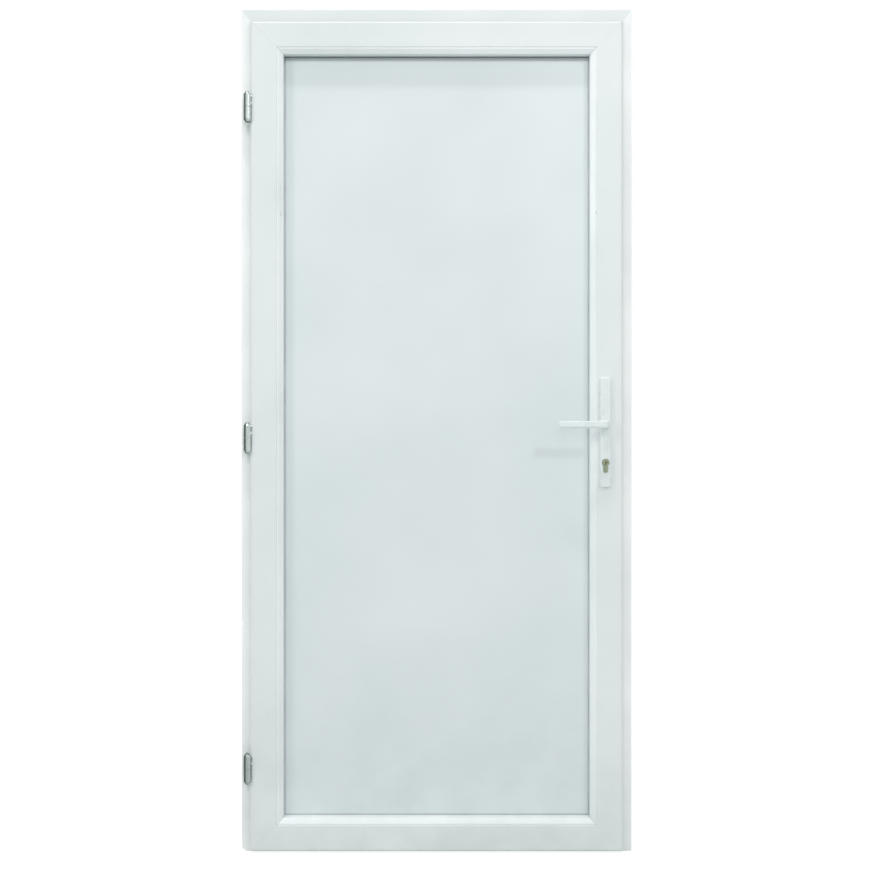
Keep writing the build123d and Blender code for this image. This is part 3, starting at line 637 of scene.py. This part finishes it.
coatValues = {
    "coat": "#E6EEED",
    "rubbed": "#DCE4E3",
    "wornPatch": 28.0,         # mm
    "peel": 1.6,
    "peelDepth": 0.02,
    "ior": 1.5,
}


def powderCoatedHandle(values=coatValues):
    # die-cast zinc with white powder coat: a faint orange peel under a clean gloss,
    # polished a little by hands
    material, tree, place = startMaterial("powderCoatedHandle")
    worn = addNode(tree, "ShaderNodeTexNoise", {
        "Vector": place, "Scale": perMetre(values["wornPatch"]), "Detail": 3.0,
    })
    share = addNode(tree, "ShaderNodeMapRange", {"Value": worn, "From Min": 0.35, "From Max": 0.7})
    tone = addNode(tree, "ShaderNodeMix", {
        0: share, 6: linear(values["coat"]), 7: linear(values["rubbed"]),
    }, out=2, data_type="RGBA")
    rough = addNode(tree, "ShaderNodeMapRange", {
        "Value": worn, "From Min": 0.3, "From Max": 0.7, "To Min": 0.22, "To Max": 0.34,
    })
    peel = addNode(tree, "ShaderNodeTexNoise", {
        "Vector": place, "Scale": perMetre(values["peel"]), "Detail": 1.0,
    })
    normal = addNode(tree, "ShaderNodeBump", {
        "Height": peel, "Strength": 0.6, "Distance": values["peelDepth"] * mm,
    })
    endMaterial(tree, {"Base Color": tone, "Roughness": rough, "Normal": normal, "IOR": values["ior"]})
    return material


nickelValues = {
    "nickel": "#8A9480",
    "worn": "#8C9676",
    "wornPatch": 7.0,          # mm
    "line": 0.5,               # drawn coarser than the real brush lines so that they show
    "lineLength": 25.0,
    "lineDepth": 0.02,
    "rough": 0.36,
}


def satinNickel(values=nickelValues):
    # brass body under worn satin nickel: warm grey, brass showing through
    material, tree, place = startMaterial("satinNickel")
    patches = addNode(tree, "ShaderNodeTexNoise", {
        "Vector": place, "Scale": perMetre(values["wornPatch"]), "Detail": 4.0, "Roughness": 0.6,
    })
    worn = addNode(tree, "ShaderNodeMapRange", {"Value": patches, "From Min": 0.42, "From Max": 0.66})
    tone = addNode(tree, "ShaderNodeMix", {
        0: worn, 6: linear(values["nickel"]), 7: linear(values["worn"]),
    }, out=2, data_type="RGBA")
    drawn = addNode(tree, "ShaderNodeMapping", {
        "Vector": place, "Scale": lengthwise(values["line"], values["lineLength"], "Z"),
    })
    lines = addNode(tree, "ShaderNodeTexNoise", {"Vector": drawn, "Scale": 1.0})
    normal = addNode(tree, "ShaderNodeBump", {
        "Height": lines, "Strength": 0.6, "Distance": values["lineDepth"] * mm,
    })
    endMaterial(tree, {"Base Color": tone, "Normal": normal, "Metallic": 1.0, "Roughness": values["rough"]})
    return material


brassValues = {"brass": "#A3AC8C", "dirt": "#464B3C", "dirtPatch": 4.0, "rough": 0.4}


def dullBrass(values=brassValues):
    # the plug, bare brass gone dull, with dirt round the keyway
    material, tree, place = startMaterial("dullBrass")
    patches = addNode(tree, "ShaderNodeTexNoise", {
        "Vector": place, "Scale": perMetre(values["dirtPatch"]), "Detail": 4.0, "Roughness": 0.6,
    })
    dirt = addNode(tree, "ShaderNodeMapRange", {"Value": patches, "From Min": 0.42, "From Max": 0.66})
    tone = addNode(tree, "ShaderNodeMix", {
        0: dirt, 6: linear(values["brass"]), 7: linear(values["dirt"]),
    }, out=2, data_type="RGBA")
    endMaterial(tree, {"Base Color": tone, "Metallic": 1.0, "Roughness": values["rough"]})
    return material


# finishes of the CAD nodes
def paint(material, *names):
    for name in names:
        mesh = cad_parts[name].data
        mesh.materials.clear()
        mesh.materials.append(material)


hingeNames = ("upper", "middle", "lower")
handleSides = ("inside", "outside")
headDepth = 41.0  # mm, from the frame's top down to the opening

# places on the door that the marks follow
leafLow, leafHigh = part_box("hinge_stile")[0].z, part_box("hinge_stile")[1].z
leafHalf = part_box("lock_stile")[1].x
frameHalf, frameTop = cadHigh.x, cadHigh.z
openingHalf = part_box("threshold")[1].x
openingTop = frameTop - headDepth * mm
leafCorners = [(1.0, 1.0, leafHalf + leafLow), (1.0, -1.0, leafHalf - leafHigh)]
leafSeams = [(*corner, upvcValues["leafSeamShare"]) for corner in leafCorners]
beadSeams = [(*corner, upvcValues["beadSeamShare"]) for corner in leafCorners]
headSlope = (frameTop - openingTop) / (frameHalf - openingHalf)
frameSeams = [(headSlope, -1.0, headSlope * frameHalf - frameTop, upvcValues["frameSeamShare"])]
washerLow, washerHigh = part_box("middle_hinge_washer")
barrelMiddle = (washerLow.x + washerHigh.x) / 2
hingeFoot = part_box("lower_hinge_frame_half")[0].z
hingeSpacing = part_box("middle_hinge_frame_half")[0].z - hingeFoot
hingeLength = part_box("middle_hinge_leaf_half")[1].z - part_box("middle_hinge_frame_half")[0].z
# where the painted shadows below the hinges fall on the hinge jamb
hingeShadowPlaces = (hingeFoot, hingeSpacing, barrelMiddle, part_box("hinge_jamb")[0].y)
beadNicks = [  # place in metres, reach in mm
    ((-0.377, -0.054, 1.548), (2.2, 8.0, 9.0)),
    ((0.3865, -0.054, 1.552), (2.5, 8.0, 6.0)),
]
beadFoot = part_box("top_bead")[0].z
# height above which the leaf's top edge is painted darker, as shade against the light from above
topShadeFrom = leafHigh - upvcValues["topShadeDepth"] * mm

# the jambs take the painted lighter copy of the frame's colour, the head its plainer one
paint(extrudedUpvc("frameUpvcHingedLitCopy", upvcValues["frame"], "Z", frameSeams, hingeShadowPlaces), "hinge_jamb")
paint(extrudedUpvc("frameUpvcUprightLitCopy", upvcValues["frame"], "Z", frameSeams), "lock_jamb")
paint(extrudedUpvc("frameUpvcLevel", upvcValues["head"], "X", frameSeams), "frame_head")
paint(extrudedUpvc("leafUpvcUpright", upvcValues["leaf"], "Z", leafSeams, topShadeFrom=topShadeFrom),
      "hinge_stile", "lock_stile")
paint(extrudedUpvc("leafUpvcLevel", upvcValues["leaf"], "X", leafSeams, topShadeFrom=topShadeFrom),
      "top_rail", "bottom_rail")
paint(extrudedUpvc("beadUpvcUpright", upvcValues["bead"], "Z", beadSeams, nicks=beadNicks),
      "hinge_side_bead", "lock_side_bead")
paint(extrudedUpvc("beadUpvcLevel", upvcValues["bead"], "X", beadSeams), "top_bead", "bottom_bead")
paint(pressedPanelSkin(beadFoot), "infill_panel")
paint(extrudedRubber(beadFoot), "frame_seal", "leaf_seal", "room_panel_seal", "weather_panel_seal")
paint(anodisedAluminium(), "threshold", "rain_deflector")
zinc = zincPlatedSteel()
paint(zinc, "centre_strike", "upper_strike", "lower_strike", "lock_faceplate")
paint(machinedSteel(), "latch_bolt", "deadbolt", "upper_hook", "lower_hook", "spindle")
paint(turnedHingeSteel(barrelMiddle, hingeFoot, hingeSpacing, hingeLength),
      *[f"{h}_hinge_{part}_half" for h in hingeNames for part in ("frame", "leaf")])
paint(mouldedNylon(), *[f"{h}_hinge_washer" for h in hingeNames])
paint(powderCoatedHandle(), *[f"{s}_{part}" for s in handleSides for part in ("handle_plate", "lever")])
paint(satinNickel(), "lock_cylinder")
paint(dullBrass(), "cylinder_plug")
print("finishes given to the frame's nodes")


# new pieces
sharpAngle = 35.0  # degrees between faces, past which an edge stays sharp
overlap = 0.1      # mm that a head's foot stands inside what carries it


def finishPiece(mesh, name, material, body):
    # one object at the origin, its place in its mesh, riding on a body
    bmesh.ops.recalc_face_normals(mesh, faces=mesh.faces)
    data = bpy.data.meshes.new(name)
    mesh.to_mesh(data)
    mesh.free()
    data.shade_smooth()
    data.set_sharp_from_angle(angle=math.radians(sharpAngle))
    data.materials.append(material)
    piece = bpy.data.objects.new(name, data)
    bpy.context.scene.collection.objects.link(piece)
    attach(piece, body)


screwValues = {
    "segments": 32,
    "rings": ((0.55, 0.97), (0.30, 0.90), (0.15, 0.78)),  # share of the rise, narrowing
    "crossLength": 1.15,       # times the head's radius
    "crossWidth": 0.26,
    "crossDepth": 0.6,         # times the head's rise
    "crossTaper": 0.2,         # of half its width, from the brim to the floor
    "turn": 37.0,              # degrees from one screw to the next, as no two end up alike
}


def sinkCross(mesh, top, radius, rise, values):
    # the cross recess, cut out of the head's flat top
    arm, half = values["crossLength"] / 2 * radius, values["crossWidth"] / 2 * radius
    for sideways in (Vector((1.0, 0.0, 0.0)), Vector((0.0, 1.0, 0.0))):
        for reach in (-arm, -half, half, arm):
            edges = {e for f in top for e in f.edges}
            corners = {v for f in top for v in f.verts}
            cut = bmesh.ops.bisect_plane(
                mesh, geom=[*top, *edges, *corners], plane_co=sideways * reach, plane_no=sideways)
            top = [g for g in cut["geom"] if isinstance(g, bmesh.types.BMFace)]
    cross = []
    for face in top:
        middle = face.calc_center_median()
        short, long = sorted((abs(middle.x), abs(middle.y)))
        if long < arm and short < half:
            cross.append(face)
    bmesh.ops.inset_region(mesh, faces=cross, thickness=half * values["crossTaper"])
    sunk = list({v for f in cross for v in f.verts})
    bmesh.ops.translate(mesh, vec=(0.0, 0.0, -rise * values["crossDepth"]), verts=sunk)


def addScrew(mesh, place, outward, radius, rise, turn, values=screwValues):
    # a domed head with a cross recess, made facing up and then set in its place
    before = set(mesh.verts)
    bmesh.ops.create_circle(mesh, cap_ends=True, segments=values["segments"], radius=radius)
    foot = top = [f for f in mesh.faces if not before.intersection(f.verts)]
    for share, narrowing in values["rings"]:
        grown = bmesh.ops.extrude_face_region(mesh, geom=top)["geom"]
        if top is not foot:  # the face inside is left over
            bmesh.ops.delete(mesh, geom=top, context="FACES_ONLY")
        ring = [g for g in grown if isinstance(g, bmesh.types.BMVert)]
        bmesh.ops.translate(mesh, vec=(0.0, 0.0, rise * share), verts=ring)
        bmesh.ops.scale(mesh, vec=(narrowing, narrowing, 1.0), verts=ring)
        top = [g for g in grown if isinstance(g, bmesh.types.BMFace)]
    sinkCross(mesh, top, radius, rise, values)

    added = [v for v in mesh.verts if v not in before]
    aim = Vector(outward).to_track_quat("Z", "Y").to_matrix().to_4x4()
    spin = Matrix.Rotation(math.radians(turn), 4, "Z")
    bmesh.ops.transform(mesh, matrix=Matrix.Translation(place) @ aim @ spin, verts=added)


plateScrewValues = {
    # piece: plate that carries it, side it faces, body, heights in mm
    "centreStrikeScrews": ("centre_strike", -1, "frame", (957.5, 1034.5, 1105.5)),
    "upperStrikeScrews": ("upper_strike", -1, "frame", (1587.5, 1672.5)),
    "lowerStrikeScrews": ("lower_strike", -1, "frame", (387.5, 472.5)),
    "faceplateScrews": (
        "lock_faceplate", 1, "leaf", (316.0, 520.0, 700.0, 900.0, 1160.0, 1350.0, 1520.0, 1744.0),
    ),
}
plateHead = {"radius": 3.9, "rise": 1.1}  # mm


def makePlateScrews(name, plate, side, body, heights, head=plateHead):
    low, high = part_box(plate)
    face = high.x if side > 0 else low.x
    mesh = bmesh.new()
    for i, height in enumerate(heights):
        place = (face - side * overlap * mm, (low.y + high.y) / 2, height * mm)
        turn = i * screwValues["turn"]
        addScrew(mesh, place, (side, 0, 0), head["radius"] * mm, head["rise"] * mm, turn)
    finishPiece(mesh, name, zinc, body)


for pieceName, pieceSettings in plateScrewValues.items():
    makePlateScrews(pieceName, *pieceSettings)


# frame fixings: the heads lie on the floors of the jambs' recesses
fixingValues = {
    "depth": 5.0,              # mm, of the recess
    "radius": 7.2,
    "rise": 2.6,
    "y": -7.5,
    "heights": (110.0, 700.0, 1290.0, 1880.0),
    "firstTurn": 0.4,          # of the step from one screw to the next
}


def makeFixings(name, side, values=fixingValues):
    mesh = bmesh.new()
    for i, height in enumerate(values["heights"]):
        place = (side * (openingHalf + (values["depth"] + overlap) * mm), values["y"] * mm, height * mm)
        turn = (i + values["firstTurn"]) * screwValues["turn"]
        addScrew(mesh, place, (-side, 0, 0), values["radius"] * mm, values["rise"] * mm, turn)
    finishPiece(mesh, name, zinc, "frame")


makeFixings("hingeJambFixings", -1)
makeFixings("lockJambFixings", 1)
print("screws made")


# covers of the drain slots, open below
coverValues = {
    "x": 250.0,                # mm
    "width": 44.0,
    "foot": 73.0,
    "height": 13.0,
    "thick": 5.0,
    "wall": 1.2,
    "rounding": 1.6,
    "roundingSegments": 3,
}


def makeDrainCovers(values=coverValues):
    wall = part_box("bottom_rail")[1].y
    mesh = bmesh.new()
    for side in (-1, 1):
        before = set(mesh.verts)
        made = bmesh.ops.create_cube(mesh, size=1.0)["verts"]
        size = Vector((values["width"], values["thick"], values["height"])) * mm
        bmesh.ops.scale(mesh, vec=size, verts=made)
        outer = [e for e in {e for v in made for e in v.link_edges}
                 if any(v.co.y > 0 for v in e.verts) and any(v.co.z > 0 for v in e.verts)]
        bmesh.ops.bevel(mesh, geom=outer, offset=values["rounding"] * mm,
                        segments=values["roundingSegments"], affect="EDGES", profile=0.5, material=-1)
        faces = [f for f in mesh.faces if not before.intersection(f.verts)]
        foot = min(faces, key=lambda f: f.calc_center_median().z)
        bmesh.ops.inset_region(mesh, faces=[foot], thickness=values["wall"] * mm)
        hollow = (values["height"] - 2 * values["wall"]) * mm
        bmesh.ops.translate(mesh, vec=(0.0, 0.0, hollow), verts=foot.verts)
        bmesh.ops.translate(mesh, verts=[v for v in mesh.verts if v not in before], vec=(
            side * values["x"] * mm,
            wall + values["thick"] * mm / 2,
            (values["foot"] + values["height"] / 2) * mm,
        ))
    finishPiece(mesh, "drainCovers", extrudedUpvc("coverUpvc", upvcValues["leaf"], "X"), "leaf")


makeDrainCovers()
print("drain covers made")


# floor and light
plainWhite = (1.0, 1.0, 1.0, 1.0)


def seenDirectly(tree):
    # 1 for what the camera sees, straight or in a mirror or through glass
    path = addNode(tree, "ShaderNodeLightPath", out=None).outputs
    direct = addNode(tree, "ShaderNodeMath", {
        0: path["Is Camera Ray"], 1: path["Is Glossy Ray"],
    }, operation="MAXIMUM")
    return addNode(tree, "ShaderNodeMath", {0: direct, 1: path["Is Transmission Ray"]}, operation="MAXIMUM")


floorValues = {
    "size": 60.0,              # metres
    "gap": 0.5,                # mm below the door
    "colour": "#D2D6D6",
    "white": 1.20,
    "lift": 0.76,              # share of plain white in what the camera sees
}


def makeFloor(values):
    mesh = bmesh.new()
    bmesh.ops.create_grid(mesh, x_segments=1, y_segments=1, size=values["size"] / 2)
    bmesh.ops.translate(mesh, vec=(0.0, 0.0, cadLow.z - values["gap"] * mm), verts=mesh.verts)
    data = bpy.data.meshes.new("floor")
    mesh.to_mesh(data)
    mesh.free()
    floor = bpy.data.objects.new("floor", data)
    bpy.context.scene.collection.objects.link(floor)
    material = bpy.data.materials.new("paleFloor")
    material.use_nodes = True
    tree = material.node_tree
    tree.nodes.clear()
    pale = addNode(tree, "ShaderNodeBsdfDiffuse", {"Color": linear(values["colour"])})
    white = addNode(tree, "ShaderNodeEmission", {"Color": plainWhite, "Strength": values["white"]})
    share = addNode(tree, "ShaderNodeMath", {0: seenDirectly(tree), 1: values["lift"]}, operation="MULTIPLY")
    mixed = addNode(tree, "ShaderNodeMixShader", {0: share, 1: pale, 2: white})
    addNode(tree, "ShaderNodeOutputMaterial", {"Surface": mixed}, out=None)
    data.materials.append(material)


worldValues = {"colour": "#F9FBFB", "strength": 0.66}


def makeWorld(values):
    world = bpy.data.worlds.new("studio")
    world.use_nodes = True
    bpy.context.scene.world = world
    tree = world.node_tree
    tree.nodes.clear()
    soft = addNode(tree, "ShaderNodeBackground", {
        "Color": linear(values["colour"]), "Strength": values["strength"],
    })
    white = addNode(tree, "ShaderNodeBackground", {"Color": plainWhite, "Strength": 1.0})
    mixed = addNode(tree, "ShaderNodeMixShader", {0: seenDirectly(tree), 1: soft, 2: white})
    addNode(tree, "ShaderNodeOutputWorld", {"Surface": mixed}, out=None)


lampValues = {
    # name: place, point aimed at, width, height, watts, colour
    "high": ((-0.3, -1.6, 7.1), (0.0, -0.03, 1.5), 2.2, 0.28, 124.0, "#FFFAFF"),
    "left": ((-3.0, -2.2, 2.4), (0.0, -0.05, 1.0), 0.9, 0.9, 24.0, "#FFFFFF"),
    "right": ((1.9, -2.3, 3.3), (0.4, -0.05, 1.0), 0.35, 0.35, 18.0, "#FFFFFF"),
    "front": ((0.2, -3.2, 2.0), (0.0, -0.03, 1.0), 1.6, 1.6, 10.0, "#FFFFFF"),
    "back": ((1.5, 3.0, 3.0), (0.0, 0.0, 1.0), 1.4, 1.4, 40.0, "#FFFFFF"),
}


def makeLamp(name, place, target, width, height, power, colour):
    data = bpy.data.lights.new(name, "AREA")
    data.shape = "ELLIPSE"
    data.size = width
    data.size_y = height
    data.energy = power
    data.color = linear(colour)[:3]
    lamp = bpy.data.objects.new(name, data)
    lamp.location = place
    direction = Vector(target) - Vector(place)
    lamp.rotation_euler = direction.to_track_quat("-Z", "Y").to_euler()
    lamp.visible_camera = False
    bpy.context.scene.collection.objects.link(lamp)


makeFloor(floorValues)
makeWorld(worldValues)
for lampName, lampSettings in lampValues.items():
    makeLamp(lampName, *lampSettings)
print("floor, world and lamps made")
